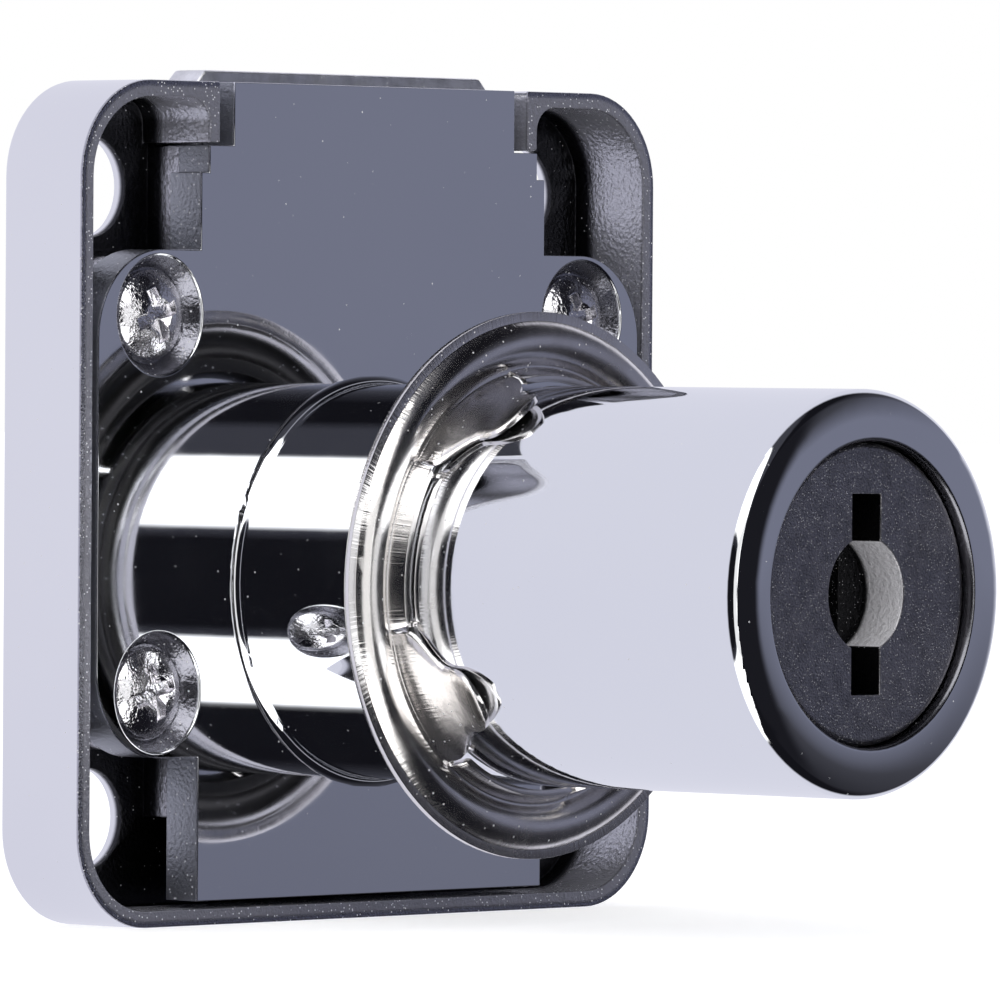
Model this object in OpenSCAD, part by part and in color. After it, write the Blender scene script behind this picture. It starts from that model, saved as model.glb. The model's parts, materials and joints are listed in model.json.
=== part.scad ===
/* [Case] */
// Width of the case across its front
case_w = 40; // [38:0.5:46]
// Height of the case
case_h = 40; // [38:0.5:46]
// Radius of the case's four outer corners
corner_r = 4.6; // [3.5:0.1:6]
// Thickness of the case's side walls
wall_t = 0.8; // [0.6:0.1:1.2]
// Thickness of the case's floor
floor_t = 0.8; // [0.6:0.1:1.4]
// Height of the bed that the bolt slides on, above the case's floor
bed_h = 0.2; // [0.1:0.05:0.6]
// How far the case's rim stands in front of the cylinder plate
rim_proud = 0; // [0:0.05:0.6]
// Distance between the mounting holes, the same across and up
hole_spacing = 30; // [28:0.5:31]
// Diameter of the four mounting holes
hole_d = 4.8; // [4:0.1:5]
// Length of the two short walls beside the bolt's way out
jamb_l = 2.9; // [2:0.1:4]
// Thickness of the two short walls beside the bolt's way out
jamb_t = 0.7; // [0.5:0.1:1]
// Radius of the rounded corner where such a short wall meets the case
jamb_fillet = 1.2; // [0.6:0.1:1.6]

/* [Cylinder plate] */
// Thickness of the cylinder plate
plate_t = 2.1; // [1.6:0.1:2.6]
// Gap between the cylinder plate's edge and the case's walls
plate_gap = 0.35; // [0.2:0.05:0.6]
// Radius of the rounded corners beside the plate's screws
shoulder_r = 4.2; // [3:0.1:5]
// Metal left between a mounting hole and the plate's edge beside it
hole_land = 0.6; // [0.3:0.1:1]
// How far the plate's tongue stays inside the bolt's sides
tongue_inset = 0.4; // [0.1:0.05:0.8]
// Width of the slot between the plate's tongue and the short walls
tongue_gap = 0.95; // [0.5:0.05:1.4]
// Height of the small steps under the tongue's slots
step_h = 1.3; // [0.8:0.1:2]
// Gap between those steps and the short walls above them
step_gap = 0.12; // [0.05:0.01:0.4]

/* [Barrel] */
// Diameter of the barrel
barrel_d = 19; // [18:0.1:20]
// Length of the barrel in front of the cylinder plate
barrel_l = 31.8; // [28:0.1:40]
// How far the barrel's axis lies below the middle of the case
axis_drop = 3.8; // [2:0.1:5]
// Radius of the rounding at the barrel's front edge
nose_r = 0.6; // [0.2:0.05:1]
// Radius of the domed ring round the plug, seen in section
crown_r = 5.4; // [4:0.1:12]
// Distance from the plug head's bore to where that ring starts to fall away
crown_land = 0.2; // [0.15:0.05:0.5]
// Radius of the fillet where the barrel meets the plate
root_fillet = 0.45; // [0.2:0.05:0.8]
// Diameter of the bore that the plug's head turns in
head_bore_d = 14.2; // [13.6:0.1:14.6]
// Width of the chamfer at the mouth of that bore
mouth_chamfer = 0.12; // [0.05:0.01:0.3]
// Width of the two grooves that take the wafers
groove_w = 8.7; // [8.6:0.1:9.4]
// Clearance beyond the ends of the wafers in their grooves
groove_play = 0.2; // [0.1:0.05:0.4]
// Metal left between those grooves and the ring groove in front of them
groove_land = 0.5; // [0.3:0.1:0.6]
// Clearance of the retaining wafer along the barrel in its ring groove
ring_play = 0.1; // [0.05:0.05:0.2]

/* [Plug] */
// Radial running clearance of the plug in its bore
plug_play = 0.06; // [0.02:0.01:0.1]
// Length of the plug's wider head
head_l = 2.9; // [2.5:0.1:4]
// Radial height of the plug head's shoulder
head_step = 0.5; // [0.3:0.05:0.8]
// How far the plug's face lies behind the barrel's front
face_recess = 0.45; // [0.2:0.05:1]
// Radius of the rounding on the plug's face edge
face_round = 0.35; // [0.1:0.05:0.4]
// Height of the keyway
key_h = 9.3; // [8:0.1:9.6]
// Width of the keyway
key_w = 2; // [1.4:0.1:2.1]
// Thickness of the metal left behind the keyway
key_end = 3; // [2:0.5:6]
// Diameter of the round pocket in the middle of the keyway
key_pocket_d = 5.3; // [4:0.1:6]
// Depth of that round pocket
key_pocket_depth = 2.6; // [1.5:0.1:2.7]
// Distance of the drive pin from the barrel's axis
pin_offset = 4.5; // [3.8:0.1:4.7]
// Diameter of the drive pin
pin_d = 2.4; // [2:0.1:2.8]
// Gap between the drive pin's end and the bed
pin_gap = 0.2; // [0.1:0.05:0.4]

/* [Wafers] */
// Thickness of a wafer
wafer_t = 0.9; // [0.6:0.05:1.1]
// Width of a wafer across both wings
wafer_w = 8.4; // [7.8:0.1:8.4]
// Distance from one wafer to the next along the plug
wafer_pitch = 2.4; // [2.2:0.05:2.9]
// How far a wafer springs out into its groove
wafer_travel = 1.2; // [0.6:0.1:1.3]
// Sliding play of a wafer in its slot, on each side
wafer_play = 0.05; // [0.03:0.01:0.12]
// Width of the key window in a wafer
window_w = 2.4; // [2.2:0.1:2.6]
// Height of the key window in a wafer
window_h = 9.7; // [9.65:0.05:10]
// Width of the metal beside that window on the sprung side
strut_w = 1.3; // [1.1:0.1:1.4]
// How far the retaining wafer reaches outside the plug
retainer_reach = 1; // [0.6:0.1:1.1]
// Width of the retaining wafer where it reaches out
retainer_w = 5.9; // [4:0.1:7]
// Metal left between the retaining wafer and the plug's head
retainer_land = 0.5; // [0.3:0.05:0.6]
// Outer diameter of a wafer spring
spring_d = 1.25; // [1:0.05:1.3]
// Diameter of the spring wire
wire_d = 0.22; // [0.16:0.02:0.3]
// Height of a wafer spring when the wafer is home
spring_l = 5; // [4.5:0.1:5.2]
// Clearance round a wafer spring in its pocket
spring_play = 0.15; // [0.05:0.05:0.2]

/* [Bolt] */
// Width of the bolt
bolt_w = 20.4; // [18:0.1:21]
// Thickness of the bolt
bolt_t = 2.1; // [1.6:0.1:3]
// How far the drawn-in bolt stands out of the case
bolt_proud = 0.6; // [0:0.1:1]
// Height of the bolt
bolt_h = 34.6; // [32:0.2:35]
// Running clearance at the bolt's front and back
bolt_play = 0.05; // [0.03:0.01:0.1]
// Running clearance at the bolt's sides
bolt_side_play = 0.1; // [0.05:0.01:0.2]
// Thickness of the two rails that guide the bolt
rail_t = 0.8; // [0.6:0.1:1]
// How far the rails run on past the bolt's lower end
rail_past = 1; // [0.4:0.1:1.6]
// Lost motion between the drive pin and its slot, above and below
slot_play = 1.05; // [1:0.05:1.2]
// Clearance of the drive pin at the ends of its slot
slot_end_play = 0.3; // [0.1:0.05:0.6]
// Chamfer at the bolt's leading corners
bolt_chamfer = 0.6; // [0.2:0.1:1.2]

/* [Screws] */
// Distance of the plate screws from the case's middle, across
screw_x = 14.75; // [14.5:0.05:15]
// Distance of the plate screws from the case's middle, up
screw_z = 8.9; // [8.6:0.05:9]
// Diameter of a screw's head
screw_head_d = 4.3; // [4:0.1:4.8]
// Height of a screw's domed head
screw_head_h = 1; // [0.8:0.05:1.2]
// Height of the straight edge under that dome
head_edge = 0.25; // [0.15:0.05:0.4]
// Length of the two arms of a screw's cross recess
cross_l = 2.6; // [2:0.1:3]
// Width of those arms
cross_w = 0.6; // [0.4:0.05:0.8]
// Depth of the cross recess
cross_depth = 0.65; // [0.4:0.05:0.7]
// Diameter of a screw's shank
screw_d = 2.4; // [2:0.1:2.6]
// Clearance round a screw's shank
screw_play = 0.04; // [0.02:0.01:0.1]
// Diameter of the dished recess at the plate's face
recess_d = 5.8; // [5.6:0.1:5.9]
// Depth of the dished recess
recess_depth = 0.9; // [0.6:0.05:1.1]
// Clearance round a screw's head on its seat
seat_play = 0.15; // [0.05:0.05:0.3]
// Outer diameter of the posts that take the plate screws
post_d = 5.6; // [5:0.1:6]

/* [Rosette] */
// Outer diameter of the rosette
rosette_d = 26; // [24:0.2:28]
// Thickness of the rosette's sheet
sheet_t = 0.3; // [0.2:0.05:0.4]
// Distance from the cylinder plate to the rosette's rim
rosette_stand = 10.4; // [6:0.1:14]
// Height of the rosette's domed ring
dome_h = 0.85; // [0.6:0.05:1.2]
// Width of the flat rim outside the dome
rim_flat = 0.3; // [0.2:0.05:0.6]
// Radial gap between the barrel and the valley inside the dome
valley_gap = 0.85; // [0.6:0.05:1.2]
// Gap between the rosette's spring tabs and the barrel
tab_play = 0.05; // [0.03:0.01:0.1]
// Gap between the rosette's collar and the barrel
collar_play = 0.18; // [0.1:0.01:0.3]
// Height of the collar between the tabs
collar_h = 1.05; // [0.8:0.05:1.4]
// Width of a spring tab at its root
tab_w = 7.2; // [6:0.1:8]
// Width of a spring tab at its tip
tab_tip_w = 3.4; // [2.4:0.1:4]
// How far a spring tab reaches along the barrel
tab_l = 4.7; // [3.4:0.1:5]
// Length of a spring tab's straight root
tab_root_l = 0.7; // [0.4:0.1:1]
// How far a spring tab's end stands off the barrel
tab_lift = 0.4; // [0.2:0.05:1]
// Width of the slits beside a spring tab's root
slit_w = 0.25; // [0.15:0.05:0.4]
// Turn of the first spring tab from the horizontal
tab_turn = 57; // [45:1:65]

/* [Hidden] */
$fn = 96;
// A length that carries a cut safely past a face
over = 1;
// A length by which joined solids run into each other
bite = 0.1;

// Distances towards the front, counted from the case's back face
bed_s = floor_t + bed_h;
bolt_back = bed_s + bolt_play;
bolt_front = bolt_back + bolt_t;
plate_back = bolt_front + bolt_play;
plate_front = plate_back + plate_t;
case_d = plate_front + rim_proud;
barrel_front = plate_front + barrel_l;
plug_face = barrel_front - face_recess;
head_seat = plug_face - head_l;
plug_rear = plate_back + plug_play;
pin_end = bed_s + pin_gap;

// The barrel and what turns in it
axis_z = -axis_drop;
barrel_r = barrel_d / 2;
head_bore_r = head_bore_d / 2;
crown_c = head_bore_r + crown_land;
nose_run = barrel_r - nose_r - crown_c;
nose_s = barrel_front - crown_r + sqrt(pow(crown_r - nose_r, 2) - pow(nose_run, 2));
crown_end = crown_c + crown_r * nose_run / (crown_r - nose_r);
head_r = head_bore_r - plug_play;
body_bore_r = head_bore_r - head_step;
body_r = body_bore_r - plug_play;
wafer_r = body_r - plug_play;
groove_r = wafer_r + wafer_travel + groove_play;
slot_t = wafer_t + 2 * wafer_play;
retainer_s = head_seat - retainer_land - wafer_t / 2;
retainer_r = wafer_r + retainer_reach;
ring_groove_r = retainer_r + groove_play;
ring_groove_t = slot_t + 2 * ring_play;
groove_front = retainer_s - ring_groove_t / 2 - groove_land;
first_wafer_s = retainer_s - wafer_pitch;
key_end_s = plate_back + key_end;

// One wing of each wafer sits on a spring in a pocket of the plug
side_x = window_w / 2 + strut_w;
wing_z = spring_l / 2;
pocket_floor_z = wing_z - spring_l;
pocket_t = spring_d + 2 * spring_play;
spring_x = (side_x + wafer_w / 2) / 2;

// The case's inside and the mounting holes
hole_r = hole_d / 2;
hole_c = hole_spacing / 2;
inside_w = case_w - 2 * wall_t;
inside_h = case_h - 2 * wall_t;
tongue_x = bolt_w / 2 - tongue_inset;
jamb_x = tongue_x + tongue_gap;
jamb_z = case_h / 2 - jamb_l;
rail_x = bolt_w / 2 + bolt_side_play;

// The cylinder plate's outline
step_x = jamb_x + jamb_t;
notch_x = hole_c - hole_r - hole_land;
notch_z = hole_c - hole_r - hole_land;
shoulder_x = inside_w / 2 - plate_gap;
step_top = jamb_z - step_gap;
step_bottom = step_top - step_h;
plate_bottom = -(inside_h / 2 - plate_gap);

// The bolt and the slot that the drive pin works in
bolt_top = case_h / 2 + bolt_proud;
bolt_bottom = bolt_top - bolt_h;
rail_bottom = bolt_bottom - rail_past;
slot_h = pin_d + 2 * slot_play;
slot_half_w = pin_offset + pin_d / 2 + slot_end_play;
slot_z = axis_z - pin_offset;

// The rosette's section, counted from the barrel's axis and its own rim
rosette_s = plate_front + rosette_stand;
rosette_r = rosette_d / 2;
valley_r = barrel_r + valley_gap;
dome_c = (rosette_r - rim_flat + valley_r) / 2;
dome_half = (rosette_r - rim_flat - valley_r) / 2;
dome_r = (dome_half * dome_half + dome_h * dome_h) / (2 * dome_h);
tab_gap_r = barrel_r + tab_play;
collar_r = barrel_r + collar_play;

// Screw sizes that follow the plate
screw_seat = plate_front - recess_depth;
screw_tip = bed_s;
post_pilot_r = screw_d / 2 + screw_play;

// A front-view outline made solid between two distances from the back face
module slab(s0, s1) {
    rotate([90, 0, 0]) translate([0, 0, s0]) linear_extrude(s1 - s0) children();
}

// A radius-and-distance section turned round the barrel's axis
module turned() {
    translate([0, 0, axis_z]) rotate([90, 0, 0]) rotate_extrude() children();
}

// A front-view outline centred on the barrel's axis
module on_axis() {
    translate([0, axis_z]) children();
}

module rounded_rect(w, h, r) {
    square([w - 2 * r, h], center = true);
    square([w, h - 2 * r], center = true);
    for (sx = [-1, 1], sz = [-1, 1]) translate([sx * (w / 2 - r), sz * (h / 2 - r)]) circle(r);
}

// The four places of a pattern that is mirrored across and up
module four(x, z) {
    for (sx = [-1, 1], sz = [-1, 1]) translate([sx * x, sz * z]) children();
}

module case_walls() {
    difference() {
        rounded_rect(case_w, case_h, corner_r);
        rounded_rect(inside_w, inside_h, corner_r - wall_t);
        translate([-jamb_x, case_h / 2 - wall_t - over]) square([2 * jamb_x, wall_t + 2 * over]);
    }
}

// The short walls that close the case's top corners beside the bolt, with rounded inner corners
module jambs() {
    for (side = [-1, 1]) scale([side, 1]) {
        translate([jamb_x, jamb_z]) square([jamb_t, jamb_l]);
        difference() {
            translate([step_x, inside_h / 2 - jamb_fillet]) square(jamb_fillet);
            translate([step_x + jamb_fillet, inside_h / 2 - jamb_fillet]) circle(jamb_fillet);
        }
    }
}

module rails() {
    for (side = [-1, 1]) scale([side, 1]) {
        translate([rail_x, rail_bottom]) square([rail_t, step_top - rail_bottom]);
    }
}

module rear_case() {
    color("gainsboro") difference() {
        union() {
            slab(0, floor_t) rounded_rect(case_w, case_h, corner_r);
            slab(0, case_d) case_walls();
            slab(0, case_d) jambs();
            slab(0, plate_back) rails();
            slab(0, plate_back) four(screw_x, screw_z) circle(post_d / 2);
            slab(0, bed_s) translate([-rail_x - rail_t / 2, rail_bottom])
                square([2 * rail_x + rail_t, case_h / 2 - rail_bottom]);
        }
        slab(-over, floor_t + over) four(hole_c, hole_c) circle(hole_r);
        slab(floor_t, plate_back + over) four(screw_x, screw_z) circle(post_pilot_r);
    }
}

module plate_outline() {
    band_h = 2 * notch_z;
    rounded_rect(2 * shoulder_x, band_h, shoulder_r);
    translate([-notch_x, plate_bottom]) square([2 * notch_x, step_bottom - plate_bottom]);
    translate([-step_x, 0]) square([2 * step_x, step_top]);
    translate([-tongue_x, 0]) square([2 * tongue_x, case_h / 2]);
}

// Half the section of the barrel's outside, with its root fillet, domed ring and rounded nose
module barrel_section() {
    square([barrel_r, nose_s]);
    square([crown_c, barrel_front]);
    intersection() {
        translate([crown_c, barrel_front - crown_r]) circle(crown_r);
        square([crown_end, barrel_front]);
    }
    translate([barrel_r - nose_r, nose_s]) circle(nose_r);
    difference() {
        translate([barrel_r, plate_front]) square(root_fillet);
        translate([barrel_r + root_fillet, plate_front + root_fillet]) circle(root_fillet);
    }
}

// Half the section of the stepped bore, its ring groove and the chamfer at its mouth
module bore_section() {
    translate([0, -over]) square([body_bore_r, barrel_front]);
    translate([0, head_seat - plug_play]) square([head_bore_r, barrel_front]);
    translate([0, retainer_s - ring_groove_t / 2]) square([ring_groove_r, ring_groove_t]);
    polygon([[0, barrel_front - mouth_chamfer], [head_bore_r, barrel_front - mouth_chamfer],
             [head_bore_r + mouth_chamfer + over, barrel_front + over], [0, barrel_front + over]]);
}

// Conical recess with a flat seat for a domed screw head
module screw_recess() {
    cylinder(d1 = screw_head_d + 2 * seat_play, d2 = recess_d, h = recess_depth);
    translate([0, 0, recess_depth]) cylinder(d = recess_d, h = over);
    translate([0, 0, -plate_t - over]) cylinder(d = screw_d + 2 * screw_play, h = plate_t + 2 * over);
}

module cylinder_plate() {
    color("silver") difference() {
        union() {
            slab(plate_back, plate_front) plate_outline();
            intersection() {
                turned() barrel_section();
                slab(plate_back, barrel_front + over) square(case_w + case_h, center = true);
            }
        }
        intersection() {
            turned() bore_section();
            slab(plate_back - over, barrel_front + over) square(case_w + case_h, center = true);
        }
        slab(plate_back - over, groove_front) on_axis() intersection() {
            square([groove_w, 2 * groove_r], center = true);
            circle(groove_r);
        }
        rotate([90, 0, 0]) four(screw_x, screw_z) translate([0, 0, screw_seat]) screw_recess();
    }
}

// One domed cross-recessed screw, standing on its seat
module screw() {
    dome_rise = screw_head_h - head_edge;
    ball_r = (screw_head_d * screw_head_d / 4 + dome_rise * dome_rise) / (2 * dome_rise);
    cross_floor = screw_head_h - cross_depth;
    difference() {
        union() {
            intersection() {
                cylinder(d = screw_head_d, h = screw_head_h);
                translate([0, 0, screw_head_h - ball_r]) sphere(ball_r);
            }
            translate([0, 0, screw_tip - screw_seat])
                cylinder(d = screw_d, h = screw_seat - screw_tip + bite);
        }
        for (turn = [20, 110]) rotate(turn) translate([-cross_l / 2, -cross_w / 2, cross_floor])
            cube([cross_l, cross_w, screw_head_h]);
        translate([0, 0, cross_floor]) cylinder(d1 = cross_w, d2 = 3 * cross_w, h = cross_depth);
    }
}

module plate_screws() {
    color("lightgray") rotate([90, 0, 0]) four(screw_x, screw_z) translate([0, 0, screw_seat]) screw();
}

module bolt() {
    half_w = bolt_w / 2;
    color("dimgray") difference() {
        slab(bolt_back, bolt_front) polygon([
            [-half_w, bolt_bottom], [half_w, bolt_bottom],
            [half_w, bolt_top - bolt_chamfer], [half_w - bolt_chamfer, bolt_top],
            [-half_w + bolt_chamfer, bolt_top], [-half_w, bolt_top - bolt_chamfer]]);
        slab(bolt_back - over, bolt_front + over) translate([0, slot_z]) {
            square([2 * slot_half_w - slot_h, slot_h], center = true);
            for (side = [-1, 1]) translate([side * (slot_half_w - slot_h / 2), 0]) circle(slot_h / 2);
        }
    }
}

module plug_section() {
    translate([0, plug_rear]) square([body_r, plug_face - plug_rear - face_round]);
    translate([0, head_seat]) square([head_r, head_l - face_round]);
    translate([0, head_seat]) square([head_r - face_round, head_l]);
    translate([head_r - face_round, plug_face - face_round]) circle(face_round);
}

// The outline of a wafer's slot across the plug, with the ledge under its spring
module slot_outline() {
    reach = 2 * head_r;
    wing_x = wafer_w / 2 + wafer_play;
    translate([-wing_x, -reach / 2]) square([wing_x + side_x + wafer_play, reach]);
    translate([0, pocket_floor_z]) square([wing_x, reach]);
}

// The spring's room, which goes on above the wing as far as the wafer travels
module spring_pocket() {
    translate([side_x + wafer_play, pocket_floor_z])
        square([wafer_w / 2 - side_x, spring_l + wafer_travel]);
}

// The slot and spring pocket of the wafer at a distance s, turned with it
module wafer_room(s, turn) {
    slab(s - slot_t / 2, s + slot_t / 2) on_axis() rotate(turn) slot_outline();
    slab(s - pocket_t / 2, s + pocket_t / 2) on_axis() rotate(turn) spring_pocket();
}

function wafer_s(number) = first_wafer_s - (number - 1) * wafer_pitch;
function wafer_turn(number) = number % 2 == 1 ? 0 : 180;

module plug() {
    color("dimgray") {
        difference() {
            intersection() {
                turned() plug_section();
                slab(plug_rear, barrel_front) square(case_w + case_h, center = true);
            }
            slab(key_end_s, barrel_front) on_axis() square([key_w, key_h], center = true);
            slab(plug_face - key_pocket_depth, barrel_front) on_axis() circle(key_pocket_d / 2);
            for (number = [1:7]) wafer_room(wafer_s(number), wafer_turn(number));
            wafer_room(retainer_s, 0);
        }
        slab(pin_end, plug_rear + bite) translate([0, slot_z]) circle(pin_d / 2);
    }
}

// A wafer's outline: a disc cut to width, one wing cut back for the spring, and the key window
module wafer_outline() {
    difference() {
        intersection() {
            circle(wafer_r);
            square([wafer_w, 2 * head_r], center = true);
        }
        square([window_w, window_h], center = true);
        translate([side_x, wing_z - 2 * head_r]) square([wafer_w, 2 * head_r]);
    }
}

module wafer(number) {
    color("goldenrod") slab(wafer_s(number) - wafer_t / 2, wafer_s(number) + wafer_t / 2)
        on_axis() rotate(wafer_turn(number)) wafer_outline();
}

module wafer_1() { wafer(1); }
module wafer_2() { wafer(2); }
module wafer_3() { wafer(3); }
module wafer_4() { wafer(4); }
module wafer_5() { wafer(5); }
module wafer_6() { wafer(6); }
module wafer_7() { wafer(7); }

// The retaining wafer reaches into the ring groove at the top and stops short below
module retaining_wafer() {
    short = retainer_reach + groove_play;
    color("goldenrod") slab(retainer_s - wafer_t / 2, retainer_s + wafer_t / 2) on_axis() difference() {
        union() {
            wafer_outline();
            intersection() {
                circle(retainer_r);
                translate([-retainer_w / 2, window_h / 2]) square([retainer_w, retainer_r]);
            }
        }
        translate([-head_r, -2 * head_r - wafer_r + short]) square([2 * head_r, 2 * head_r]);
    }
}

// Points of a wire wound round a vertical axis, ring by ring
function coil_points(height, turns, sides, steps, coil_r, wire_r) = [
    for (i = [0:turns * steps], j = [0:sides - 1])
        let (
            at = 360 * i / steps,
            round = 360 * j / sides,
            reach = coil_r + wire_r * cos(round),
            level = wire_r + (height - 2 * wire_r) * i / (turns * steps)
        )
        [reach * cos(at), reach * sin(at), level + wire_r * sin(round)]
];

// Faces of that wire: two triangles for each stretch of a side, and a fan of triangles at each end
function coil_faces(rings, sides) = [
    for (i = [0:rings - 2], j = [0:sides - 1], half = [0, 1])
        let (
            k = (j + 1) % sides,
            here = i * sides,
            there = here + sides
        )
        half == 0 ? [here + j, here + k, there + k] : [here + j, there + k, there + j],
    for (j = [1:sides - 2], end = [0, 1])
        let (last = (rings - 1) * sides)
        end == 0 ? [0, j + 1, j] : [last, last + j, last + j + 1]
];

module coil_spring(s, turn) {
    turns = 5;
    sides = 6;
    steps = 8;
    wire_r = wire_d / 2;
    end_play = 0.02;
    rings = turns * steps + 1;
    height = spring_l - 2 * end_play;
    color("lightsteelblue") translate([0, -s, axis_z]) rotate([0, turn, 0])
        translate([spring_x, 0, pocket_floor_z + end_play])
            polyhedron(
                points = coil_points(height, turns, sides, steps, spring_d / 2 - wire_r, wire_r),
                faces = coil_faces(rings, sides)
            );
}

module wafer_spring(number) { coil_spring(wafer_s(number), wafer_turn(number)); }
module wafer_spring_1() { wafer_spring(1); }
module wafer_spring_2() { wafer_spring(2); }
module wafer_spring_3() { wafer_spring(3); }
module wafer_spring_4() { wafer_spring(4); }
module wafer_spring_5() { wafer_spring(5); }
module wafer_spring_6() { wafer_spring(6); }
module wafer_spring_7() { wafer_spring(7); }
module retaining_spring() { coil_spring(retainer_s, 0); }

// The rosette's sheet: flat rim and dome, counted from its own rim
module dome_section() {
    translate([rosette_r - rim_flat - sheet_t, 0]) square([rim_flat + sheet_t, sheet_t]);
    intersection() {
        difference() {
            translate([dome_c, dome_h - dome_r]) circle(dome_r);
            translate([dome_c, dome_h - dome_r]) circle(dome_r - sheet_t);
        }
        translate([valley_r - sheet_t, 0]) square([rosette_r - valley_r, dome_h + over]);
    }
    translate([valley_r - sheet_t / 2, 0]) square([sheet_t, sheet_t]);
}

// The collar between the tabs, leaning in and forward to the barrel
module collar_section() {
    polygon([[valley_r, 0], [valley_r, sheet_t], [collar_r + sheet_t, collar_h],
             [collar_r, collar_h], [collar_r, collar_h - sheet_t], [valley_r - sheet_t, 0]]);
}

function unit(v) = v / norm(v);
// The direction square to a path at its point i, on the right-hand side
function side_of(path, i) =
    let (
        a = path[max(i - 1, 0)],
        b = path[min(i + 1, len(path) - 1)],
        d = unit(b - a)
    )
    [d[1], -d[0]];
// The outline of a sheet of thickness t that lies along a path
function band(path, t) = concat(
    path,
    [for (i = [len(path) - 1:-1:0]) path[i] + t * side_of(path, i)]
);

// A tab's inner face: down to where it touches the barrel, and gently out again to its tip
module tab_section() {
    steps = 12;
    touch = 0.55;
    path = [
        for (i = [0:steps])
            let (
                u = i / steps,
                dip = (valley_r - sheet_t - tab_gap_r) * pow(1 - min(u / touch, 1), 2),
                lift = u > touch ? pow((u - touch) / (1 - touch), 2) : 0
            )
            [tab_gap_r + dip + tab_lift * lift, tab_l * u]
    ];
    polygon(band(path, sheet_t));
}

// A tab's outline seen along the barrel's radius: wide root, narrow rounded tip
module tab_outline() {
    steps = 8;
    tip_r = tab_tip_w / 2;
    flare = tab_w / 2 - tip_r;
    neck = tab_l - tip_r;
    side = [
        for (i = [0:steps])
            [tip_r + flare * (1 + cos(180 * i / steps)) / 2, tab_root_l + (neck - tab_root_l) * i / steps]
    ];
    other_side = [for (i = [steps:-1:0]) [-side[i][0], side[i][1]]];
    polygon(concat([[-tab_w / 2, -over], [tab_w / 2, -over]], side, other_side));
    translate([0, neck]) circle(tip_r);
}

module rosette() {
    slit_floor = sheet_t - bite;
    color("darkgray") translate([0, 0, axis_z]) rotate([90, 0, 0]) translate([0, 0, rosette_s]) {
        rotate_extrude() dome_section();
        difference() {
            rotate_extrude() collar_section();
            for (k = [0:3]) rotate(180 - tab_turn + 90 * k)
                translate([0, -tab_w / 2 - slit_w, slit_floor])
                    cube([rosette_r, tab_w + 2 * slit_w, collar_h + over]);
        }
        for (k = [0:3]) rotate(180 - tab_turn + 90 * k) intersection() {
            rotate_extrude() tab_section();
            rotate([90, 0, 90]) translate([0, 0, tab_gap_r / 2]) linear_extrude(rosette_r) tab_outline();
        }
    }
}

rear_case();
cylinder_plate();
plate_screws();
bolt();
plug();
wafer_1();
wafer_2();
wafer_3();
wafer_4();
wafer_5();
wafer_6();
wafer_7();
wafer_spring_1();
wafer_spring_2();
wafer_spring_3();
wafer_spring_4();
wafer_spring_5();
wafer_spring_6();
wafer_spring_7();
retaining_wafer();
retaining_spring();
rosette();
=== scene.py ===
"""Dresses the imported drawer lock: finishes, softened edges, studio and camera.

All in metres. X points right, Y back and Z up, seen from the key's side; the barrel points to -Y.
"""

from __future__ import annotations

import json
import logging
import math
from dataclasses import dataclass, field
from enum import Enum
from typing import Callable, Iterable, Sequence, Union

import bpy
from mathutils import Matrix, Vector

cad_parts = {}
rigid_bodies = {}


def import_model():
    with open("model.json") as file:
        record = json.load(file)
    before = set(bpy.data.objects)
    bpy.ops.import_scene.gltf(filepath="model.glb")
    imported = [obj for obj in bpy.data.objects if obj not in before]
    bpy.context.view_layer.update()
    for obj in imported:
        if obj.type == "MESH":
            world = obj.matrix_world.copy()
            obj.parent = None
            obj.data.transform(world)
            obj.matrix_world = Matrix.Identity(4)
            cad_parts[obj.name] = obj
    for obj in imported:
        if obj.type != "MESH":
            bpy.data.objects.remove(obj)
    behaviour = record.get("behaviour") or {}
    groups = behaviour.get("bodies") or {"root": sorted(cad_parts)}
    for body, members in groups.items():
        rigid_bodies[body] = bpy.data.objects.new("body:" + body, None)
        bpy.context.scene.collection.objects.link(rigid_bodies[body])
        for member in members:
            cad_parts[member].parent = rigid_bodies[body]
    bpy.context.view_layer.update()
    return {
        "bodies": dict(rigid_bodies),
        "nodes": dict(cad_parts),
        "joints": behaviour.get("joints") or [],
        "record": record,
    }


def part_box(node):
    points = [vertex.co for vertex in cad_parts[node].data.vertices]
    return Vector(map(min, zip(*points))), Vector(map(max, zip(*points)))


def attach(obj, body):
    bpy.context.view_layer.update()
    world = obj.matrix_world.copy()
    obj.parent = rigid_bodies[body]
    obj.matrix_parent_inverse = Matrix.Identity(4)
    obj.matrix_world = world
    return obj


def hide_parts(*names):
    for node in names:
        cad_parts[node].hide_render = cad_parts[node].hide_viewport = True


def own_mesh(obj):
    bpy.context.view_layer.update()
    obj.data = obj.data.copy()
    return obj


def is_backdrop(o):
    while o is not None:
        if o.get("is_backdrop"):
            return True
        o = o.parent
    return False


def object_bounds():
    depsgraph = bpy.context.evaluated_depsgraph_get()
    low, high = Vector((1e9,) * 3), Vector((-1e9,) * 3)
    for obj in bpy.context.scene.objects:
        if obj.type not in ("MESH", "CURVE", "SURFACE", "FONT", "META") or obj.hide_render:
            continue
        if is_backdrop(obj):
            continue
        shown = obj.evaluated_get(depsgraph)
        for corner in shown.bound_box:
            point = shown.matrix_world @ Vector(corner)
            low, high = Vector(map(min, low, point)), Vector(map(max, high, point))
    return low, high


LOG = logging.getLogger("drawer_lock")
MM = 0.001
AXIS_Z = -3.8 * MM

Colour = tuple[float, float, float]
Place = tuple[float, float, float]
Span = tuple[float, float]
Value = Union["Signal", int, float]

WHITE: Colour = (1.0, 1.0, 1.0)
EVERYWHERE: tuple[Span, ...] = ((-1.0, 1.0),)

MIX_FIRST = 6
MIX_SECOND = 7
MIX_COLOUR = 2
HALF_TURN = 180

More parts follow.
